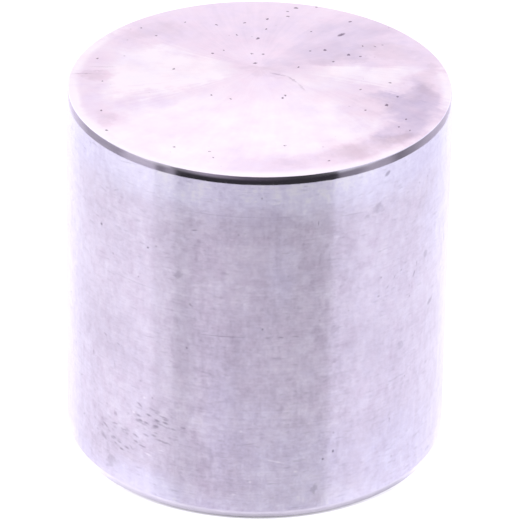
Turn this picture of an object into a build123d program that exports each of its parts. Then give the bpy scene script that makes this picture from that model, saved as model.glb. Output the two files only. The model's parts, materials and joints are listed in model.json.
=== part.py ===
from build123d import *
import os

# Cap-type valve shim, in millimetres.
# One turned, hardened and ground steel piece. It slips over the end of a valve stem,
# and its solid crown sets the gap between the stem and the rocker or cam above it.
# The origin is the centre of the open rim that it stands on, and +Z is its axis, towards the crown.

# The stem end that the shim fits over, and the running clearance on each side of it
stem_diameter = 7.0
stem_clearance = 0.02

# The crown's thickness is the size that a shim is chosen by
crown_thickness = 4.5
seat_depth = 5.5
skirt_wall = 1.48

# Both outer edges are broken by a steep polished bevel: little of the radius, more of the height
edge_break_depth = 0.05
edge_break_height = 0.2

# Lead-in at the mouth of the bore, and the round left by the boring tool at its seat
mouth_chamfer = 0.3
seat_corner_radius = 0.25

# Sizes that follow
bore_radius = stem_diameter / 2 + stem_clearance
outside_radius = bore_radius + skirt_wall
height = seat_depth + crown_thickness

with BuildPart() as valve_shim:
    # Ground blank, standing on what will be the open rim
    with BuildSketch(Plane.XY):
        Circle(outside_radius)
    extrude(amount=height)
    rim_face = valve_shim.faces().sort_by(Axis.Z).first
    crown_face = valve_shim.faces().sort_by(Axis.Z).last
    outer_edges = valve_shim.edges().filter_by(GeomType.CIRCLE)

    # Steep bevel on each outer edge, measured in from its flat end face
    chamfer(outer_edges.group_by(Axis.Z)[0], edge_break_depth, edge_break_height, reference=rim_face)
    chamfer(outer_edges.group_by(Axis.Z)[-1], edge_break_depth, edge_break_height, reference=crown_face)

    # Blind bore for the stem, cut upwards from the rim, with a flat seat
    with BuildSketch(Plane.XY):
        Circle(bore_radius)
    extrude(amount=seat_depth, mode=Mode.SUBTRACT)
    bore_edges = valve_shim.edges(Select.LAST).filter_by(GeomType.CIRCLE)
    fillet(bore_edges.sort_by(Axis.Z).last, seat_corner_radius)
    chamfer(bore_edges.sort_by(Axis.Z).first, mouth_chamfer)

valve_shim.part.label = "valve_shim"

os.makedirs("parts", exist_ok=True)
export_step(valve_shim.part, "parts/valve_shim.step")
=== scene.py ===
"""Looks of a cap-type valve shim: one turned, hardened and ground piece of steel, about 10 mm each way.

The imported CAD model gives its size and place. This script turns a smooth copy of it, finishes each of
its machined surfaces, and sets it on a pale floor in soft light, seen as in the photograph.
"""
import json
import math

import bmesh
import bpy
from mathutils import Euler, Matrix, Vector


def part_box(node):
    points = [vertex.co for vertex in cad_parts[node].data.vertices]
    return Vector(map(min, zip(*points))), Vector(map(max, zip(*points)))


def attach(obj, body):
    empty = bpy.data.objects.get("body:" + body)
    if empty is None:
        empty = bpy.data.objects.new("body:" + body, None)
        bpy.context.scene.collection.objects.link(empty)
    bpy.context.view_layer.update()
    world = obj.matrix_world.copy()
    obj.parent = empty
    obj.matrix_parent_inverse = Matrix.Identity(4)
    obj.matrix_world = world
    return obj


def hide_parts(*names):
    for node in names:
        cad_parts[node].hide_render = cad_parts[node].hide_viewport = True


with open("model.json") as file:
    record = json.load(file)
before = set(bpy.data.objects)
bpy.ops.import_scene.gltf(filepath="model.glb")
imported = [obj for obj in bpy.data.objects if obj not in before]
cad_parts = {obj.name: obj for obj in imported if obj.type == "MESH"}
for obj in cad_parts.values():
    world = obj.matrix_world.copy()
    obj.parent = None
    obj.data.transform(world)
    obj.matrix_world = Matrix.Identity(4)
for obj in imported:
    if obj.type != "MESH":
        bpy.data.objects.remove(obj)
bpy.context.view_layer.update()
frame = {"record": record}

MM = 0.001

# Sizes of the shim, in metres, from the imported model
crown_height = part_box("valve_shim")[1].z
mounts = {mount["name"]: mount for mount in frame["record"]["mounts"]}
outside_radius = mounts["outside"]["dims"]["r_mm"] * MM
bore_radius = mounts["stem_bore"]["dims"]["r_mm"] * MM
bore_wall = mounts["stem_bore"]["dims"]["length_mm"] * MM

# Edge treatments, as in the CAD model
edge_break_depth = 0.05 * MM
edge_break_height = 0.2 * MM
mouth_chamfer = 0.3 * MM
seat_corner_radius = 0.25 * MM
seat_height = mouth_chamfer + bore_wall + seat_corner_radius

# The tiny rounding that polishing leaves on every turned corner
polished_round = 0.022 * MM
round_steps = 3
turn_steps = 384
corner_steps = 6
sharp_angle = math.radians(12)
# Points closer than this are one point
same_place = MM * 1e-4

# The camera looks along +Y from the front, as fitted to the outline of the shim in the photograph
camera_distance = 135.4 * MM
camera_elevation = math.radians(29.08)
camera_roll = math.radians(0.96)
camera_aim = Vector((0.08, 0, 4.87)) * MM
camera_lens = 357
sensor_width = 36

# The grinding marks on the crown fan out from a point a little behind its centre, in millimetres
fan_centre = (0.0, 1.03, 0.0)

# The floor is a ring, open under the shim
floor_radius = 32 * MM
opening_radius = 4.6 * MM
floor_steps = 96


def make_camera():
    """A long lens, rolled by a degree, with the shim filling the frame."""
    data = bpy.data.cameras.new("camera")
    data.lens = camera_lens
    data.sensor_width = sensor_width
    data.clip_start = camera_distance / 100
    data.clip_end = camera_distance * 100
    camera = bpy.data.objects.new("camera", data)
    middle = Vector((0, 0, crown_height / 2))
    back = Vector((0, -math.cos(camera_elevation), math.sin(camera_elevation)))
    camera.location = middle + back * camera_distance
    aim = (camera_aim - camera.location).to_track_quat("-Z", "Y")
    roll = Euler((0, 0, camera_roll)).to_quaternion()
    camera.rotation_mode = "QUATERNION"
    camera.rotation_quaternion = aim @ roll
    bpy.context.scene.collection.objects.link(camera)
    bpy.context.scene.camera = camera


def linear(red, green, blue):
    """A colour as it shows on the screen, from 0 to 255, as the linear colour that a shader takes."""
    shares = [value / 255 for value in (red, green, blue)]
    return tuple(s / 12.92 if s < 0.04045 else ((s + 0.055) / 1.055) ** 2.4 for s in shares) + (1.0,)


class Nodes:
    """Short calls that add nodes to one material or world. Most return the socket that they end in."""

    def __init__(self, tree):
        self.tree = tree
        tree.nodes.clear()

    def feed(self, socket, value):
        """Links another socket to this one, or sets this one to a plain value."""
        if isinstance(value, bpy.types.NodeSocket):
            self.tree.links.new(value, socket)
        else:
            socket.default_value = value

    def add(self, kind, inputs=None, **settings):
        """One new node of that kind, with its settings and with its inputs fed."""
        node = self.tree.nodes.new("ShaderNode" + kind)
        for name, value in settings.items():
            setattr(node, name, value)
        for name, value in (inputs or {}).items():
            self.feed(node.inputs[name], value)
        return node

    def math(self, operation, *values, clamp=False):
        inputs = dict(enumerate(values))
        return self.add("Math", inputs, operation=operation, use_clamp=clamp).outputs[0]

    def vector(self, operation, *values):
        node = self.add("VectorMath", operation=operation)
        for value, socket in zip(values, [s for s in node.inputs if s.enabled]):
            self.feed(socket, value)
        return next(s for s in node.outputs if s.enabled)

    def combine(self, x=0.0, y=0.0, z=0.0):
        return self.add("CombineXYZ", {0: x, 1: y, 2: z}).outputs[0]

    def separate(self, vector):
        return self.add("SeparateXYZ", {0: vector}).outputs

    def fade(self, value, start, end, low=0.0, high=1.0):
        """Goes smoothly from low to high as value goes from start to end."""
        inputs = {"Value": value, "From Min": start, "From Max": end, "To Min": low, "To Max": high}
        return self.add("MapRange", inputs, interpolation_type="SMOOTHSTEP").outputs["Result"]

    def noise(self, vector, scale=1.0, detail=2.0, roughness=0.5):
        inputs = {"Vector": vector, "Scale": scale, "Detail": detail, "Roughness": roughness}
        return self.add("TexNoise", inputs).outputs["Fac"]

    def mix(self, share, first, second, blend="MIX"):
        node = self.add("Mix", data_type="RGBA", blend_type=blend)
        colours = [s for s in node.inputs if s.enabled]
        for value, socket in zip((share, first, second), colours):
            self.feed(socket, value)
        return next(s for s in node.outputs if s.enabled)

    def ramp(self, value, stops):
        """A colour ramp through stops of (place, colour)."""
        node = self.add("ValToRGB", {"Fac": value})
        band = node.color_ramp
        while len(band.elements) < len(stops):
            band.elements.new(0.5)
        for element, (place, colour) in zip(band.elements, stops):
            element.position = place
            element.color = colour
        return node.outputs["Color"]

    def spot(self, place, centre, half_length, half_width, turn=0.0, soft=0.5):
        """1 inside an oval of that size, in millimetres, turned by that many degrees, and 0 outside it."""
        east, north = math.cos(math.radians(turn)), math.sin(math.radians(turn))
        away = self.vector("SUBTRACT", place, (*centre, 0.0))
        along = self.vector("DOT_PRODUCT", away, (east / half_length, north / half_length, 0.0))
        aside = self.vector("DOT_PRODUCT", away, (-north / half_width, east / half_width, 0.0))
        squared = self.math("MULTIPLY_ADD", along, along, self.math("MULTIPLY", aside, aside))
        return self.fade(squared, 1.0, (1.0 - soft) ** 2)

    def highest(self, masks):
        """The highest of several masks at each point."""
        top = 0.0
        for mask in masks:
            top = self.math("MAXIMUM", top, mask)
        return top

    def spots(self, place, ovals, soft):
        """The strongest of several ovals, given by middle, half length, half width, turn and strength."""
        return self.highest(
            self.math("MULTIPLY", self.spot(place, centre, length, width, turn, soft), strength)
            for centre, length, width, turn, strength in ovals
        )

    def strayed(self, place, scale, amount):
        """The place, moved about by some millimetres, so that what is drawn there has a ragged outline."""
        wander = self.add("TexNoise", {"Vector": place, "Scale": scale, "Detail": 4.0, "Roughness": 0.6})
        shift = self.vector("SUBTRACT", wander.outputs["Color"], (0.5, 0.5, 0.5))
        return self.vector("ADD", place, self.vector("SCALE", shift, amount))

    def millimetres(self):
        """The place on the shim, in millimetres from the centre of its open rim."""
        place = self.add("TexCoord").outputs["Object"]
        return self.vector("SCALE", place, 1 / MM)

    def stretched(self, place, across, along):
        """The place with its distances across and along the axis scaled, for a grain in one direction."""
        return self.vector("MULTIPLY", place, (across, across, along))

    def turned(self, vector, angle):
        """The vector, turned about the axis."""
        inputs = {"Vector": vector, "Angle": angle}
        return self.add("VectorRotate", inputs, rotation_type="Z_AXIS").outputs[0]

    def centred(self, pattern):
        """A pattern from 0 to 1, moved so that its middle is 0."""
        return self.math("SUBTRACT", pattern, 0.5)


def ground_steel(name, roughness, anisotropic=0.0):
    """A new metal material with its nodes and its shader, whose even values are set on its own sockets."""
    material = bpy.data.materials.new(name)
    material.use_nodes = True
    nodes = Nodes(material.node_tree)
    shader = nodes.add("BsdfPrincipled")
    shader.inputs["Metallic"].default_value = 1.0
    shader.inputs["Roughness"].default_value = roughness
    shader.inputs["Anisotropic"].default_value = anisotropic
    output = nodes.add("OutputMaterial")
    nodes.feed(output.inputs["Surface"], shader.outputs[0])
    return material, nodes, shader


def add_bump(nodes, shader, height, depth):
    """Raises the surface by height times depth, in metres."""
    bump = nodes.add("Bump", {"Height": height, "Distance": depth, "Strength": 1.0})
    nodes.feed(shader.inputs["Normal"], bump.outputs[0])


def crown_finish():
    """The flat top, cup ground: fine arcs that fan out from near the centre, painted fans of sheen, painted
    shade and small pits.
    """
    material, nodes, shader = ground_steel("crown_ground", 0.32, 0.6)
    place = nodes.millimetres()
    flat = nodes.vector("MULTIPLY", place, (1.0, 1.0, 0.0))
    from_axis = nodes.vector("LENGTH", flat)
    from_fan = nodes.vector("SUBTRACT", flat, fan_centre)
    reach = nodes.vector("LENGTH", from_fan)

    # Each grinding arc curls a little as it leaves the fan centre
    curl = nodes.math("MULTIPLY", reach, 0.035)
    heading = nodes.vector("NORMALIZE", nodes.turned(from_fan, curl))

    # Rays: noise that changes fast from one heading to the next and slowly on the way out
    def rays(fineness, change, detail):
        lifted = nodes.combine(z=nodes.math("MULTIPLY", reach, change))
        where = nodes.vector("ADD", nodes.vector("SCALE", heading, fineness), lifted)
        return nodes.noise(where, 1.0, detail, 0.6)

    broad_rays = rays(4.0, 0.3, 3.0)
    fine_rays = rays(24.0, 0.7, 4.0)

    # Fans of painted sheen, the grinding marks' reflection: heading from +X and half width in degrees, start
    # and full reach, and strength
    painted_fans = (
        (188, 26, 0.2, 1.4, 0.85),
        (-1, 10, 0.9, 2.2, 0.8),
        (268, 58, 0.0, 3.2, 0.72),
    )
    cloudy = nodes.add("TexNoise", {"Vector": place, "Scale": 1.3, "Detail": 5.0, "Roughness": 0.6})
    clouds = cloudy.outputs["Fac"]
    ragged = nodes.math("MULTIPLY", nodes.centred(clouds), 0.3)
    ragged = nodes.math("MULTIPLY_ADD", nodes.centred(fine_rays), 0.3, ragged)
    # The painted sheen starts from a painted bright oval right of the centre
    painted_sheen = nodes.math("MULTIPLY", nodes.spot(flat, (1.5, 0.35), 1.1, 0.5, -28, 0.9), 0.4)
    for middle, half_width, start, full, strength in painted_fans:
        axis = (math.cos(math.radians(middle)), math.sin(math.radians(middle)), 0.0)
        aside = math.sin(math.radians(half_width))
        toward = nodes.math("MULTIPLY_ADD", ragged, aside, nodes.vector("DOT_PRODUCT", heading, axis))
        low, high = (math.cos(math.radians(half_width * share)) for share in (1.35, 0.6))
        fan = nodes.math("MULTIPLY", nodes.fade(toward, low, high), nodes.fade(reach, start, full))
        painted_sheen = nodes.math("MULTIPLY_ADD", fan, strength, painted_sheen)

    # A ring inside the edge, where the painted fans die out except at the front left
    ragged_radius = nodes.vector("LENGTH", nodes.strayed(flat, 1.7, 1.3))
    ring = nodes.math("MULTIPLY", nodes.fade(ragged_radius, 3.5, 4.3), nodes.fade(from_axis, 4.8, 4.6))
    swept = nodes.spot(flat, (-2.6, -3.6), 2.4, 1.3, -36)
    ring = nodes.math("MULTIPLY", ring, nodes.math("SUBTRACT", 1.0, swept))
    painted_sheen = nodes.math("MULTIPLY", painted_sheen, nodes.math("MULTIPLY_ADD", ring, -0.8, 1.0))

    # Duller patches of painted shade, bluish and then warm: middle, half length, half width, turn and
    # strength
    cool_shade_patches = (
        ((2.2, 2.8), 2.5, 1.5, 42, 0.2),
        ((0.9, 1.62), 1.1, 0.4, 24, 0.12),
        ((3.95, -0.95), 1.7, 1.1, -80, 0.4),
        ((3.8, -2.3), 1.1, 0.9, -50, 0.33),
        ((-2.75, -0.65), 1.6, 0.8, 18, 0.2),
        ((-4.25, -0.6), 0.55, 1.3, 0, 0.1),
        ((0.2, 3.1), 3.0, 1.5, 0, 0.08),
    )
    warm_shade_patches = (
        ((3.3, 2.1), 1.1, 0.7, -20, 0.15),
        ((2.4, 1.75), 1.8, 0.4, 16, 0.1),
        ((2.65, -0.9), 0.9, 0.8, -35, 0.15),
        ((3.35, -2.95), 0.8, 0.6, 40, 0.24),
        ((2.35, -3.5), 0.95, 0.6, 32, 0.25),
        ((1.1, -4.0), 1.1, 0.5, 14, 0.16),
        ((-2.9, 2.95), 1.3, 0.7, 40, 0.14),
        ((-3.85, -1.95), 0.4, 0.75, 20, 0.2),
        ((-4.2, 0.6), 0.75, 0.25, 4, 0.18),
        ((0.1, 0.85), 0.75, 0.35, 0, 0.14),
        ((4.3, 0.6), 0.45, 1.6, -8, 0.17),
    )
    # A blotchy noise breaks up the painted shade of these patches
    blotchy = nodes.noise(place, 1.6, 4.0, 0.6)
    blotchy = nodes.math("MULTIPLY_ADD", nodes.centred(blotchy), 1.4, 1.05)
    ragged_flat = nodes.strayed(flat, 1.1, 2.0)
    cool_painted_shade = nodes.math("MULTIPLY", nodes.spots(ragged_flat, cool_shade_patches, 0.9), blotchy)
    warm_painted_shade = nodes.math("MULTIPLY", nodes.spots(ragged_flat, warm_shade_patches, 0.9), blotchy)

    # The painted sheen, broken up by the clouds, lightens the tone
    painted_sheen = nodes.math("MULTIPLY", painted_sheen, nodes.math("MULTIPLY_ADD", clouds, 1.2, 0.4))
    tone = nodes.math("MULTIPLY_ADD", painted_sheen, 0.5, 0.5)
    tone = nodes.math("SUBTRACT", tone, nodes.math("ADD", cool_painted_shade, warm_painted_shade))
    grain = nodes.noise(place, 6.0, 2.0, 0.4)
    for pattern, strength in ((fine_rays, 0.22), (broad_rays, 0.28), (clouds, 0.36), (grain, 0.08)):
        tone = nodes.math("MULTIPLY_ADD", nodes.centred(pattern), strength, tone)
    # The edge itself is rubbed bright, with a painted highlight that is strongest at the front
    rubbed_and_lit = nodes.fade(nodes.separate(place)[1], 1.0, -1.6, 0.05, 0.2)
    tone = nodes.math("MULTIPLY_ADD", nodes.fade(from_axis, 4.7, 4.93), rubbed_and_lit, tone)
    brightest = (1.0, linear(254, 242, 254))
    cool_shades = ((0.0, linear(204, 187, 216)), (0.5, linear(240, 220, 241)), brightest)
    warm_shades = ((0.0, linear(210, 189, 207)), (0.5, linear(242, 220, 238)), brightest)
    warmth = nodes.math("MULTIPLY", warm_painted_shade, 3.0, clamp=True)
    colour = nodes.mix(warmth, nodes.ramp(tone, cool_shades), nodes.ramp(tone, warm_shades))
    # A drift between pink and blue
    drift = nodes.separate(cloudy.outputs["Color"])[1]
    tints = ((0.3, (1.015, 0.985, 0.985, 1.0)), (0.5, (1.0, 1.0, 1.0, 1.0)), (0.7, (0.98, 0.99, 1.02, 1.0)))
    drift = nodes.ramp(drift, tints)
    colour = nodes.mix(1.0, colour, drift, "MULTIPLY")

    # Pits where the photograph shows them, with their radii, all in millimetres, and a fine scatter of more
    pit_places = {
        0.06: ((0.93, 4.57), (-0.12, 1.31), (-0.07, 2.74), (2.3, 1.87), (3.26, -0.94)),
        0.045: (
            (0.71, 4.07), (2.36, 3.81), (0.17, 3.89), (-2.24, 0.9), (0.59, -0.64), (1.69, 2.13),
            (-3.87, -2.57),
        ),
        0.035: (
            (0.71, 4.36), (1.47, 4.64), (-0.43, 3.64), (1.33, 3.2), (0.14, 3.3), (2.67, 2.39),
            (3.0, 2.39), (3.19, 2.47), (2.61, 1.79), (1.9, 1.46), (1.0, 1.12), (-0.96, 2.02),
            (-1.25, 1.83), (-0.22, 1.85), (0.07, 1.82), (-2.74, 2.81), (-4.24, 1.43), (-4.06, 0.14),
            (0.66, -0.5), (-1.24, -0.55), (-0.74, -0.75), (3.36, 0.31), (3.55, -0.47), (2.71, -1.24),
            (3.74, -1.71), (3.83, -2.31), (3.55, -2.14), (-1.14, -3.97), (-1.24, -3.64), (-2.14, -3.43),
            (0.66, -3.26), (1.77, -4.03), (-4.04, -1.5), (-0.62, 2.93), (-1.17, 3.5), (-2.0, 3.62),
            (-3.15, 3.25), (1.3, 2.07), (2.6, -0.1),
        ),
    }
    ragged_pits = nodes.strayed(flat, 14.0, 0.12)
    placed = nodes.highest(
        nodes.spot(ragged_pits, centre, radius * 1.25, radius * 0.85, 25 * index)
        for radius, centres in pit_places.items()
        for index, centre in enumerate(centres)
    )
    # A dark hair line that bends away from the fan centre, streaks at the left edge, and a long pit
    lines = (
        ((0.48, 0.68), 0.3, 0.05, -20, 0.34),
        ((0.83, 0.42), 0.28, 0.05, -56, 0.34),
        ((1.08, -0.02), 0.26, 0.045, -66, 0.24),
        ((-4.6, 0.55), 0.32, 0.035, 5, 0.35),
        ((-4.2, 0.72), 0.3, 0.03, 3, 0.2),
        ((-4.1, 0.95), 0.45, 0.03, 2, 0.2),
        ((2.12, 3.03), 0.17, 0.07, 44, 0.95),
    )
    cells = nodes.add("TexVoronoi", {"Vector": place, "Scale": 3.1, "Randomness": 1.0})
    chance = nodes.separate(cells.outputs["Color"])
    back_share = nodes.fade(nodes.separate(place)[1], -3.0, 3.5, 0.12, 0.6)
    present = nodes.math("LESS_THAN", chance[0], back_share)
    pit_radius = nodes.math("MULTIPLY_ADD", chance[1], 0.09, 0.045)
    scattered = nodes.math("MULTIPLY", present, nodes.fade(cells.outputs["Distance"], pit_radius, 0.0))
    scattered = nodes.math("MULTIPLY", scattered, 0.5)
    pits = nodes.highest([scattered, placed, nodes.spots(ragged_pits, lines, 0.9)])
    pit_colour = linear(104, 84, 108)
    colour = nodes.mix(nodes.math("MULTIPLY", pits, 0.72), colour, pit_colour)

    nodes.feed(shader.inputs["Base Color"], colour)
    roughness = nodes.math("MULTIPLY_ADD", fine_rays, 0.14, 0.25)
    nodes.feed(shader.inputs["Roughness"], nodes.math("MULTIPLY_ADD", pits, 0.3, roughness))
    add_bump(nodes, shader, fine_rays, 0.0006 * MM)

    # Sheen spreads across the grinding marks, which run out from the fan centre
    across = nodes.vector("CROSS_PRODUCT", (0.0, 0.0, 1.0), heading)
    nodes.feed(shader.inputs["Tangent"], across)
    return material


def outside_finish():
    """The round outside, centreless ground: fine rings, a mottled bloom, scuffs and small pits, with painted
    highlights and shade.
    """
    material, nodes, shader = ground_steel("outside_ground", 0.14, 1.0)
    place = nodes.millimetres()
    x, y, z = nodes.separate(place)
    # Unrolled flat: millimetres round to the right of the front line, and height
    bearing = nodes.math("ARCTAN2", x, nodes.math("MULTIPLY", y, -1.0))
    around = nodes.math("MULTIPLY", bearing, outside_radius / MM)
    unrolled = nodes.combine(around, z)

    dashes = nodes.noise(nodes.stretched(place, 4.5, 9.0), 1.0, 4.0, 0.65)
    uprights = nodes.noise(nodes.stretched(place, 7.0, 2.4), 1.0, 3.0, 0.6)
    mottle = nodes.noise(nodes.strayed(place, 3.0, 0.2), 2.4, 6.0, 0.75)
    clouds = nodes.noise(place, 0.6, 3.0)
    rings = nodes.noise(nodes.stretched(place, 0.5, 26.0), 1.0, 4.0, 0.6)

    fine = nodes.noise(nodes.stretched(place, 8.0, 13.0), 1.0, 3.0, 0.7)
    tone = 0.0
    grains = ((dashes, 0.5), (uprights, 0.6), (mottle, 0.8), (clouds, 0.6), (rings, 0.35), (fine, 0.5))
    for pattern, strength in grains:
        tone = nodes.math("MULTIPLY_ADD", nodes.centred(pattern), strength, tone)
    # The grain is strongest round the front
    aside = nodes.math("ABSOLUTE", around)
    front = nodes.fade(aside, 2.8, 1.8, 1.0, 1.5)
    tone = nodes.math("MULTIPLY_ADD", tone, front, 0.5)

    # Marks are given by their middle when unrolled, half length, half width, turn in degrees, and darkness
    marks = (
        # One long scratch round the front, and what goes on from it
        ((-0.81, 5.38), 0.8, 0.022, 2, 0.4),
        ((0.3, 5.39), 0.08, 0.025, -1, 0.5),
        ((0.65, 5.39), 0.09, 0.025, -3, 0.5),
        ((1.02, 5.39), 0.12, 0.025, -6, 0.45),
        ((-3.3, 6.36), 1.2, 0.018, 0, 0.2),
        ((2.5, 8.68), 0.5, 0.018, -4, 0.25),
        ((-0.6, 8.86), 3.4, 0.018, 0, 0.16),
        ((-0.2, 2.22), 0.34, 0.02, 10, 0.25),
        # Short nicks and dashes
        ((-1.61, 8.34), 0.1, 0.028, 11, 0.55),
        ((-4.43, 4.37), 0.1, 0.04, -23, 0.45),
        ((-3.93, 4.31), 0.1, 0.04, -18, 0.35),
        ((-4.97, 3.6), 0.12, 0.02, -90, 0.45),
        ((-4.05, 3.62), 0.18, 0.025, -86, 0.3),
        ((3.55, 9.54), 0.13, 0.07, 32, 0.6),
        ((1.56, 8.6), 0.1, 0.022, -89, 0.5),
        ((6.54, 6.4), 0.2, 0.05, -86, 0.5),
        ((5.22, 6.55), 0.14, 0.12, -70, 0.35),
        ((4.69, 6.2), 0.12, 0.04, 58, 0.5),
        ((4.8, 6.47), 0.09, 0.03, 93, 0.4),
        ((5.56, 4.98), 0.2, 0.09, 14, 0.5),
        ((-1.87, 2.48), 0.09, 0.035, 1, 0.5),
        ((3.36, 6.05), 0.06, 0.04, 10, 0.45),
        ((3.66, 6.22), 0.07, 0.03, 40, 0.35),
        ((3.9, 6.42), 0.07, 0.03, 60, 0.35),
        ((4.15, 6.53), 0.06, 0.04, 20, 0.35),
        ((-4.0, 8.78), 0.16, 0.03, 32, 0.3),
        ((-4.55, 8.6), 0.18, 0.03, -10, 0.25),
        ((-6.55, 4.55), 0.14, 0.03, 28, 0.4),
        ((-6.3, 7.4), 0.12, 0.025, 30, 0.4),
        ((-5.65, 2.55), 0.12, 0.025, 30, 0.35),
        ((-5.5, 1.45), 0.1, 0.03, 30, 0.35),
        # Pits
        ((-4.6, 7.54), 0.06, 0.045, 20, 0.85),
        ((-2.93, 7.5), 0.045, 0.035, 20, 0.85),
        ((0.17, 5.64), 0.045, 0.03, 80, 0.7),
        ((-1.79, 4.88), 0.04, 0.035, 0, 0.8),
        ((2.1, 1.81), 0.055, 0.04, 80, 0.95),
        ((1.82, 1.63), 0.04, 0.032, 0, 0.95),
        ((2.1, 2.36), 0.035, 0.03, 0, 0.45),
        ((-1.71, 6.17), 0.07, 0.045, -40, 0.5),
        ((-0.47, 8.35), 0.04, 0.03, 0, 0.5),
        ((-4.12, 6.88), 0.05, 0.03, -60, 0.4),
        ((4.8, 8.8), 0.04, 0.03, -30, 0.4),
        ((5.2, 8.81), 0.04, 0.03, -30, 0.4),
        # Faint upright streaks
        ((-0.37, 2.9), 0.11, 2.4, 0, 0.06),
        ((0.6, 7.4), 0.05, 1.5, 0, 0.06),
        ((1.17, 7.3), 0.06, 1.6, 0, 0.07),
        ((1.62, 7.0), 0.06, 1.8, 0, 0.07),
    )
    # Soft smudges, and wide soft patches of painted shade such as the band high across the front, given in
    # the same way
    smudges_and_shade = (
        ((0.2, 8.6), 2.1, 0.6, 0, 0.04),
        ((-3.8, 8.95), 1.0, 0.45, 0, 0.07),
        ((4.6, 4.7), 2.2, 1.3, 0, 0.03),
        ((-4.4, 4.6), 1.6, 1.2, 0, 0.07),
        ((3.1, 4.7), 0.9, 1.2, 0, 0.07),
        ((3.8, 2.1), 1.1, 0.9, 0, 0.03),
        ((-1.85, 4.9), 0.4, 2.8, 0, 0.08),
        ((-1.99, 7.0), 0.16, 0.14, 0, 0.24),
        ((3.32, 8.66), 0.2, 0.16, 40, 0.24),
        ((3.02, 8.44), 0.16, 0.12, 0, 0.2),
        ((-4.15, 0.66), 0.34, 0.17, 18, 0.2),
        ((-1.5, 1.5), 0.55, 0.6, 0, 0.09),
        ((-1.22, 1.88), 0.16, 0.12, 0, 0.12),
        ((1.61, 0.8), 0.12, 0.26, 0, 0.3),
        ((4.2, 4.35), 0.16, 0.14, 0, 0.2),
        ((1.3, 6.2), 0.9, 2.0, 0, 0.03),
        ((-0.5, 3.9), 0.26, 2.6, 0, 0.05),
    )
    # The scuffed patch low on the left: dashes that slope down to the right, in two clusters
    scuffs = (
        ((-3.17, 2.79), 0.14, 0.04, -29, 0.42),
        ((-2.75, 2.78), 0.2, 0.04, -6, 0.3),
        ((-2.42, 2.64), 0.2, 0.04, -12, 0.42),
        ((-3.1, 2.26), 0.3, 0.045, -10, 0.34),
        ((-2.5, 2.4), 0.32, 0.04, -12, 0.34),
        ((-2.43, 1.91), 0.3, 0.04, -5, 0.42),
        ((-4.42, 1.66), 0.16, 0.045, -18, 0.42),
        ((-4.05, 1.87), 0.17, 0.04, 15, 0.36),
        ((-3.72, 1.83), 0.16, 0.04, 4, 0.36),
        ((-3.3, 1.82), 0.14, 0.04, -13, 0.4),
        ((-3.08, 1.58), 0.16, 0.04, -5, 0.45),
        ((-4.5, 1.3), 0.18, 0.09, -26, 0.35),
        ((-3.45, 1.4), 0.16, 0.04, -31, 0.3),
        ((-4.02, 2.18), 0.09, 0.08, 0, 0.32),
    )
    scuffed_patch = (((-2.75, 2.35), 0.85, 0.62, -12, 1.0), ((-3.8, 1.5), 1.1, 0.62, -6, 1.0))
    # Between them run more strokes, one in each cell of a stretched pattern, some deeper than others
    leaning = nodes.vector("MULTIPLY", nodes.turned(unrolled, math.radians(6)), (3.9, 9.6, 1.0))
    strokes = nodes.add("TexVoronoi", {"Vector": leaning, "Scale": 1.0, "Randomness": 0.9})
    depth = nodes.fade(nodes.separate(strokes.outputs["Color"])[0], 0.0, 1.0, 0.14, 0.58)
    hatch = nodes.math("MULTIPLY_ADD", nodes.fade(strokes.outputs["Distance"], 0.52, 0.08), depth, 0.06)
    scuffed = nodes.math("MULTIPLY", nodes.spots(unrolled, scuffed_patch, 0.6), hatch)
    # Faint short scratches round the shim, all over
    scratches = nodes.noise(nodes.stretched(place, 3.2, 15.0), 1.0, 3.0)
    scratches = nodes.fade(scratches, 0.58, 0.74, 0.0, 0.17)
    # A fine scatter of pits
    cells = nodes.add("TexVoronoi", {"Vector": place, "Scale": 2.6, "Randomness": 1.0})
    chance = nodes.separate(cells.outputs["Color"])
    pit_radius = nodes.math("MULTIPLY_ADD", chance[1], 0.08, 0.04)
    pits = nodes.fade(cells.outputs["Distance"], pit_radius, 0.0, 0.0, 0.5)
    pits = nodes.math("MULTIPLY", nodes.math("LESS_THAN", chance[0], 0.4), pits)
    dark = nodes.highest([
        pits,
        nodes.math("MULTIPLY", nodes.spots(unrolled, marks, 0.8), 0.75),
        nodes.spots(nodes.strayed(unrolled, 2.5, 0.7), smudges_and_shade, 1.0),
        nodes.math("MULTIPLY", nodes.spots(nodes.strayed(unrolled, 9.0, 0.1), scuffs, 0.95), 0.9),
        scuffed,
        scratches,
    ])

    # Towards both ends, and in some patches, the surface is rubbed a little smoother, and painted lighter as
    # a painted reflection of the floor and painted highlights
    cleaned_and_lit_patches = (
        ((-3.0, 0.3), 1.8, 0.9, 0, 0.8),
        ((-1.9, 9.4), 1.2, 0.6, 0, 1.0),
        ((4.3, 1.2), 2.0, 1.5, 0, 0.5),
        ((-0.85, 2.6), 0.6, 2.4, 0, 0.35),
        ((0.65, 7.3), 0.5, 1.3, 0, 0.35),
        ((1.2, 1.2), 2.2, 2.2, 0, 0.4),
        ((5.8, 7.6), 1.1, 1.9, 0, 0.45),
        ((-0.1, 2.6), 1.2, 1.3, 0, 0.28),
    )
    ends = nodes.highest([
        nodes.fade(z, 0.9, 0.25, 0.0, 0.5),
        nodes.fade(z, 8.3, 9.8),
        nodes.spots(unrolled, cleaned_and_lit_patches, 0.9),
    ])
    # This lifts the tone where the ends and patches are painted lighter
    tone = nodes.math("MULTIPLY_ADD", ends, 0.33, tone)
    # The last millimetre at each end is brighter round the front, a painted highlight, and a little duller
    # past it, painted shade
    lit_crest = nodes.fade(aside, 5.8, 2.8, -0.12, 0.24)
    tone = nodes.math("MULTIPLY_ADD", nodes.fade(z, 8.5, 9.6), lit_crest, tone)
    tone = nodes.math("MULTIPLY_ADD", nodes.fade(z, 1.1, 0.3, 0.0, 0.7), lit_crest, tone)
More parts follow.
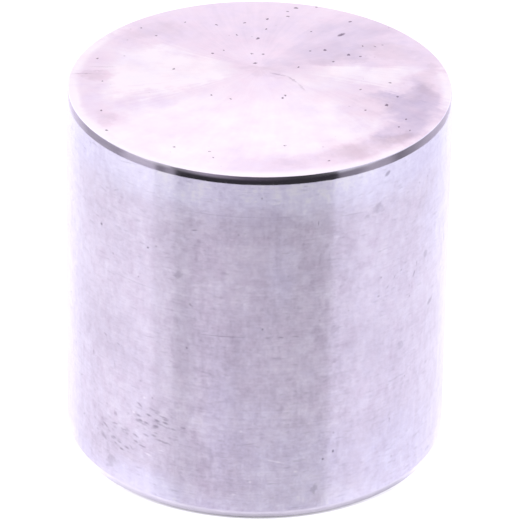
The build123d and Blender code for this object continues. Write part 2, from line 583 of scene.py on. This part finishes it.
    # Small nicks with painted glints, so that they seem to shine
    painted_glints = (
        ((-0.34, 2.6), 0.05, 0.045, 0, 1.0),
        ((-0.09, 1.1), 0.05, 0.045, 0, 1.0),
        ((-0.5, 0.7), 0.07, 0.035, 0, 0.9),
        ((1.09, 1.36), 0.07, 0.035, 0, 0.9),
        ((0.55, 1.71), 0.33, 0.035, -15, 0.8),
        ((-3.02, 3.05), 0.05, 0.04, 0, 0.8),
        ((-3.37, 2.49), 0.06, 0.045, 0, 0.8),
        ((-4.87, 1.38), 0.05, 0.05, 0, 0.8),
        ((-2.9, 1.39), 0.14, 0.035, -10, 0.8),
        ((-2.51, 1.63), 0.1, 0.03, 0, 0.6),
    )
    tone = nodes.math("MULTIPLY_ADD", nodes.spots(unrolled, painted_glints, 0.8), 0.6, tone)
    shades = (
        (0.0, linear(199, 188, 211)),
        (0.4, linear(223, 212, 234)),
        (0.8, linear(241, 232, 249)),
        (1.0, linear(250, 242, 254)),
    )
    colour = nodes.ramp(nodes.math("MULTIPLY", tone, 0.8), shades)
    # A drift between pink and blue, bluer towards both ends as painted reflection
    drift = nodes.math("MULTIPLY_ADD", nodes.centred(mottle), 1.2, 0.4)
    drift = nodes.math("MULTIPLY_ADD", ends, 0.8, drift)
    tints = ((0.0, (1.03, 0.975, 0.995, 1.0)), (0.4, (1.0, 1.0, 1.0, 1.0)), (1.0, (0.96, 0.985, 1.05, 1.0)))
    colour = nodes.mix(1.0, colour, nodes.ramp(drift, tints), "MULTIPLY")
    mark_colour = linear(96, 88, 110)
    colour = nodes.mix(dark, colour, mark_colour)

    nodes.feed(shader.inputs["Base Color"], colour)
    nodes.feed(shader.inputs["Roughness"], nodes.math("MULTIPLY_ADD", ends, -0.02, 0.14))
    add_bump(nodes, shader, nodes.math("ADD", rings, nodes.math("MULTIPLY", dashes, 0.6)), 0.001 * MM)
    nodes.feed(shader.inputs["Tangent"], nodes.combine(z=1.0))
    return material


def edge_break_finish():
    """The steep bevels, polished bright."""
    material, nodes, shader = ground_steel("edge_break_polished", 0.12)
    place = nodes.millimetres()
    smears = nodes.noise(nodes.stretched(place, 3.0, 14.0), 1.0, 3.0)
    colour = nodes.ramp(smears, [(0.25, linear(228, 220, 242)), (0.75, linear(243, 236, 253))])
    nodes.feed(shader.inputs["Base Color"], colour)
    nodes.feed(shader.inputs["Roughness"], nodes.math("MULTIPLY_ADD", smears, 0.08, 0.07))
    return material


def rim_finish():
    """The open rim and the stem's seat, ground flat, with fine turned rings."""
    material, nodes, shader = ground_steel("rim_ground", 0.3, 0.5)
    place = nodes.millimetres()
    flat = nodes.vector("MULTIPLY", place, (1.0, 1.0, 0.0))
    from_axis = nodes.vector("LENGTH", flat)
    rings = nodes.noise(nodes.combine(nodes.math("MULTIPLY", from_axis, 30.0)), 1.0, 3.0)
    mottle = nodes.noise(place, 2.5, 4.0)
    tone = nodes.math("ADD", nodes.math("MULTIPLY", rings, 0.5), nodes.math("MULTIPLY", mottle, 0.5))
    colour = nodes.ramp(tone, [(0.25, linear(196, 188, 206)), (0.75, linear(232, 224, 238))])
    nodes.feed(shader.inputs["Base Color"], colour)
    add_bump(nodes, shader, rings, 0.002 * MM)
    outwards = nodes.vector("NORMALIZE", flat)
    nodes.feed(shader.inputs["Tangent"], outwards)
    return material


def bore_finish():
    """The wall of the stem bore, finely bored, darker than the ground faces."""
    material, nodes, shader = ground_steel("bore_turned", 0.36, 0.6)
    place = nodes.millimetres()
    rings = nodes.noise(nodes.stretched(place, 0.4, 18.0), 1.0, 4.0, 0.6)
    mottle = nodes.noise(place, 1.8, 4.0)
    tone = nodes.math("ADD", nodes.math("MULTIPLY", rings, 0.6), nodes.math("MULTIPLY", mottle, 0.4))
    colour = nodes.ramp(tone, [(0.25, linear(168, 160, 178)), (0.75, linear(210, 202, 218))])
    nodes.feed(shader.inputs["Base Color"], colour)
    add_bump(nodes, shader, rings, 0.003 * MM)
    nodes.feed(shader.inputs["Tangent"], nodes.combine(z=1.0))
    return material


def turn_shim(finishes):
    """Spins the shim's half section round its axis, with each surface's own finish."""
    inner = outside_radius - edge_break_depth
    mouth = bore_radius + mouth_chamfer
    corner = bore_radius - seat_corner_radius
    # Each corner of the half section, from the middle of the crown, out, down and up the bore to the seat
    section = [
        (0.0, crown_height, "crown"),
        (inner, crown_height, "edge_break"),
        (outside_radius, crown_height - edge_break_height, "outside"),
        (outside_radius, edge_break_height, "edge_break"),
        (inner, 0.0, "rim"),
        (mouth, 0.0, "edge_break"),
        (bore_radius, mouth_chamfer, "bore"),
    ]
    for step in range(corner_steps):
        turn = math.radians(90) * step / corner_steps
        radius = corner + seat_corner_radius * math.cos(turn)
        height = seat_height - seat_corner_radius * (1 - math.sin(turn))
        section.append((radius, height, "bore"))
    section.append((corner, seat_height, "rim"))
    section.append((0.0, seat_height, None))

    mesh = bmesh.new()
    slots = list(finishes)
    for start, end in zip(section, section[1:]):
        spin_stretch(mesh, start[:2], end[:2], turn_steps, slots.index(start[2]))
    bmesh.ops.remove_doubles(mesh, verts=mesh.verts, dist=same_place)
    bmesh.ops.recalc_face_normals(mesh, faces=mesh.faces)
    sharp = [
        edge
        for edge in mesh.edges
        if len(edge.link_faces) == 2 and edge.calc_face_angle() > sharp_angle and on_ring(edge)
    ]
    round_edges(mesh, sharp)
    data = bpy.data.meshes.new("shim_body")
    mesh.to_mesh(data)
    mesh.free()
    shim = bpy.data.objects.new("shim_body", data)
    bpy.context.scene.collection.objects.link(shim)
    for finish in finishes.values():
        data.materials.append(finish)
    even = shim.modifiers.new("even_normals", "WEIGHTED_NORMAL")
    even.keep_sharp = False
    return shim


def on_ring(edge):
    """True for an edge that runs round the axis, and not along the section."""
    low, high = sorted(vert.co.z for vert in edge.verts)
    radii = [vert.co.xy.length for vert in edge.verts]
    return high - low < same_place and abs(radii[0] - radii[1]) < same_place


def spin_stretch(mesh, start, end, steps, slot=0):
    """Spins one straight stretch, from (radius, height) to (radius, height), into faces of one finish."""
    ends = [mesh.verts.new((radius, 0, height)) for radius, height in (start, end)]
    edge = mesh.edges.new(ends)
    others = set(mesh.faces)
    bmesh.ops.spin(
        mesh,
        geom=[*ends, edge],
        cent=(0, 0, 0),
        axis=(0, 0, 1),
        angle=math.tau,
        steps=steps,
        use_merge=True,
    )
    for face in set(mesh.faces) - others:
        face.material_index = slot
        face.smooth = True


def round_edges(mesh, edges):
    """The polished rounding on the turned corners."""
    bmesh.ops.bevel(
        mesh,
        geom=edges,
        offset=polished_round,
        offset_type="OFFSET",
        affect="EDGES",
        segments=round_steps,
        profile=0.5,
        material=-1,
        clamp_overlap=True,
    )


def make_floor():
    """A pale floor, open under the shim and clear from below, so that the underside can be looked at."""
    mesh = bmesh.new()
    spin_stretch(mesh, (opening_radius, 0), (floor_radius, 0), floor_steps)
    bmesh.ops.remove_doubles(mesh, verts=mesh.verts, dist=same_place)
    bmesh.ops.recalc_face_normals(mesh, faces=mesh.faces)
    for face in mesh.faces:
        if face.normal.z < 0:
            face.normal_flip()
    data = bpy.data.meshes.new("floor")
    mesh.to_mesh(data)
    mesh.free()
    floor = bpy.data.objects.new("floor", data)
    bpy.context.scene.collection.objects.link(floor)

    material = bpy.data.materials.new("floor_paper")
    material.use_nodes = True
    nodes = Nodes(material.node_tree)
    paper = nodes.add("BsdfDiffuse", {"Color": (0.5, 0.5, 0.5, 1.0)})
    path = nodes.add("LightPath")
    # White to the camera. Metal and glass see it greyer, and darker still close to the shim's foot, a
    # painted contact shade
    place = nodes.millimetres()
    x, y = nodes.separate(place)[:2]
    from_axis = nodes.vector("LENGTH", place)
    away = nodes.math("ABSOLUTE", x)
    foot = nodes.fade(away, 0.2, 1.4, -0.05, 0.05)
    contact = nodes.fade(from_axis, 4.97, 5.13, foot, 0.43)
    contact = nodes.math("SUBTRACT", contact, nodes.fade(from_axis, 8, 22, 0.0, 0.07))
    # It is less dark there on the left, and towards the sides
    nearest = nodes.fade(from_axis, 5.16, 5.0)
    left = nodes.fade(x, -1.0, -4.3, 0.0, 0.24)
    contact = nodes.math("MULTIPLY_ADD", nearest, left, contact)
    contact = nodes.math("MULTIPLY_ADD", nodes.fade(from_axis, 5.9, 5.2), 0.06, contact)
    sides = nodes.fade(y, -3.5, -2.2, 0.0, 0.5)
    contact = nodes.math("MULTIPLY_ADD", nearest, sides, contact)
    # The last degrees of the outside mirror a brighter strip, painted on the floor on each side
    strip = nodes.math("MULTIPLY", nodes.fade(away, 4.2, 5.0), nodes.fade(y, -0.8, 0.8, 0.0, 0.08))
    behind = nodes.fade(nodes.math("MULTIPLY_ADD", y, -0.6, away), 5.4, 3.6)
    contact = nodes.math("MULTIPLY_ADD", strip, behind, contact)
    mirrored = nodes.math("MAXIMUM", path.outputs["Is Glossy Ray"], path.outputs["Is Transmission Ray"])
    # The camera sees a thin shadow where the shim stands, deepest in front
    shadow = nodes.fade(y, -4.9, -2.6, 0.26, 0.8)
    shadow = nodes.fade(from_axis, 4.99, 5.06, shadow, 0.8)
    shown = nodes.math("MULTIPLY", path.outputs["Is Camera Ray"], shadow)
    glow = nodes.math("MAXIMUM", shown, nodes.math("MULTIPLY", mirrored, contact))
    glow = nodes.add("Emission", {"Color": (1.0, 0.985, 1.04, 1.0), "Strength": glow})
    satin = nodes.add("BsdfGlossy", {"Color": (1.0, 1.0, 1.0, 1.0), "Roughness": 0.1})
    sheet = nodes.add("MixShader", {0: 0.4, 1: paper.outputs[0], 2: satin.outputs[0]})
    lit = nodes.add("AddShader", {0: sheet.outputs[0], 1: glow.outputs[0]})
    clear = nodes.add("BsdfTransparent")
    below = nodes.add("NewGeometry").outputs["Backfacing"]
    one_sided = nodes.add("MixShader", {0: below, 1: lit.outputs[0], 2: clear.outputs[0]})
    nodes.feed(nodes.add("OutputMaterial").inputs["Surface"], one_sided.outputs[0])
    data.materials.append(material)


def make_studio():
    """A white tent, open at the front, so that polished steel shows black there and ground steel darkens."""
    world = bpy.data.worlds.new("studio")
    bpy.context.scene.world = world
    world.use_nodes = True
    nodes = Nodes(world.node_tree)
    east, north, height = nodes.separate(nodes.add("TexCoord").outputs["Generated"])
    # Bearing from the front, in degrees, growing to the right
    bearing = nodes.math("DEGREES", nodes.math("ARCTAN2", east, nodes.math("MULTIPLY", north, -1.0)))
    round_share = nodes.math("MULTIPLY_ADD", bearing, 1 / 360, 0.5)

    def by_bearing(stops):
        return nodes.ramp(round_share, [(degrees / 360 + 0.5, colour) for degrees, colour in stops])

    def grey(value):
        return (value, value, value, 1.0)

    def bluish(value):
        return (value * 0.97, value * 0.99, value * 1.04, 1.0)

    def rosy(value):
        return (value, value * 0.95, value * 1.03, 1.0)

    # Brightness near the horizon, by bearing: the dark opening, with the tent's frame and folds beside it
    horizon = (
        (-180, 1.05),
        (-150, 1.05),
        (-131, 0.8),
        (-113, 0.48),
        (-86, 0.38),
        (-79, 0.56),
        (-62, 0.58),
        (-60, 0.54),
        (-58.5, 0.24),
        (-54, 0.24),
        (-53, 0.35),
        (-48, 0.35),
        (-47, 0.035),
        (45, 0.035),
        (46.5, 0.24),
        (58, 0.28),
        (66, 0.42),
        (78, 0.4),
        (86, 0.21),
        (100, 0.36),
        (118, 0.56),
        (133, 0.68),
        (150, 0.95),
        (180, 1.05),
    )
    low_tent = by_bearing((degrees, rosy(value)) for degrees, value in horizon)
    # Brightness of the walls above it, again by bearing, and a white roof
    walls = (
        (-180, grey(1.05)),
        (-168, grey(1.05)),
        (-152, bluish(1.52)),
        (-132, bluish(1.2)),
        (-110, grey(1.03)),
        (-92, grey(0.98)),
        (-65.5, grey(1.03)),
        (-64, grey(0.65)),
        (-51.5, grey(0.62)),
        (-50, grey(0.25)),
        (-30, (0.36, 0.33, 0.37, 1.0)),
        (-8, (0.14, 0.12, 0.15, 1.0)),
        (24, grey(0.05)),
        (38, grey(0.1)),
        (45.5, grey(0.18)),
        (46.5, bluish(0.66)),
        (58, bluish(0.7)),
        (66, bluish(0.9)),
        (80, bluish(0.87)),
        (100, bluish(0.92)),
        (120, bluish(1.02)),
        (132, bluish(1.1)),
        (152, bluish(1.38)),
        (168, grey(1.05)),
        (180, grey(1.05)),
    )
    wall = nodes.fade(height, at_elevation(3), at_elevation(10))
    roof = nodes.fade(height, at_elevation(48), at_elevation(68))
    white = grey(1.0)
    tent = nodes.mix(roof, nodes.mix(wall, low_tent, by_bearing(walls)), white)
    # The ground around the floor, which lights the underside
    ground = nodes.fade(height, at_elevation(-22), at_elevation(-34))
    tent = nodes.mix(ground, tent, white)
    # White to the camera, and an even light for what isn't shiny
    path = nodes.add("LightPath")
    tent = nodes.mix(path.outputs["Is Camera Ray"], tent, white)
    tent = nodes.mix(path.outputs["Is Diffuse Ray"], tent, grey(0.72))
    background = nodes.add("Background", {"Color": tent, "Strength": 1.0})
    nodes.feed(nodes.add("OutputWorld").inputs["Surface"], background.outputs[0])


def at_elevation(degrees):
    """How high a heading of that elevation points, as the upward part of its unit length."""
    return math.sin(math.radians(degrees))


def make_softbox(name, place, size, brightness):
    """A square lamp that steel doesn't mirror, facing the shim. A brightness of 1 is as bright as white."""
    data = bpy.data.lights.new(name, "AREA")
    data.shape = "SQUARE"
    data.size = size
    data.energy = brightness * math.pi * size**2
    lamp = bpy.data.objects.new(name, data)
    lamp.location = place
    lamp.visible_glossy = False
    middle = Vector((0, 0, crown_height / 2))
    lamp.rotation_mode = "QUATERNION"
    lamp.rotation_quaternion = (middle - lamp.location).to_track_quat("-Z", "Y")
    bpy.context.scene.collection.objects.link(lamp)


make_camera()
shim = turn_shim(
    {
        "crown": crown_finish(),
        "outside": outside_finish(),
        "edge_break": edge_break_finish(),
        "rim": rim_finish(),
        "bore": bore_finish(),
    }
)
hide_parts("valve_shim")
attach(shim, "root")
make_floor()
make_studio()
make_softbox("key_softbox", Vector((-90, 20, 190)) * MM, 110 * MM, 1.15)
make_softbox("fill_softbox", Vector((120, -40, 150)) * MM, 90 * MM, 0.9)
bpy.context.scene.view_settings.view_transform = "Standard"
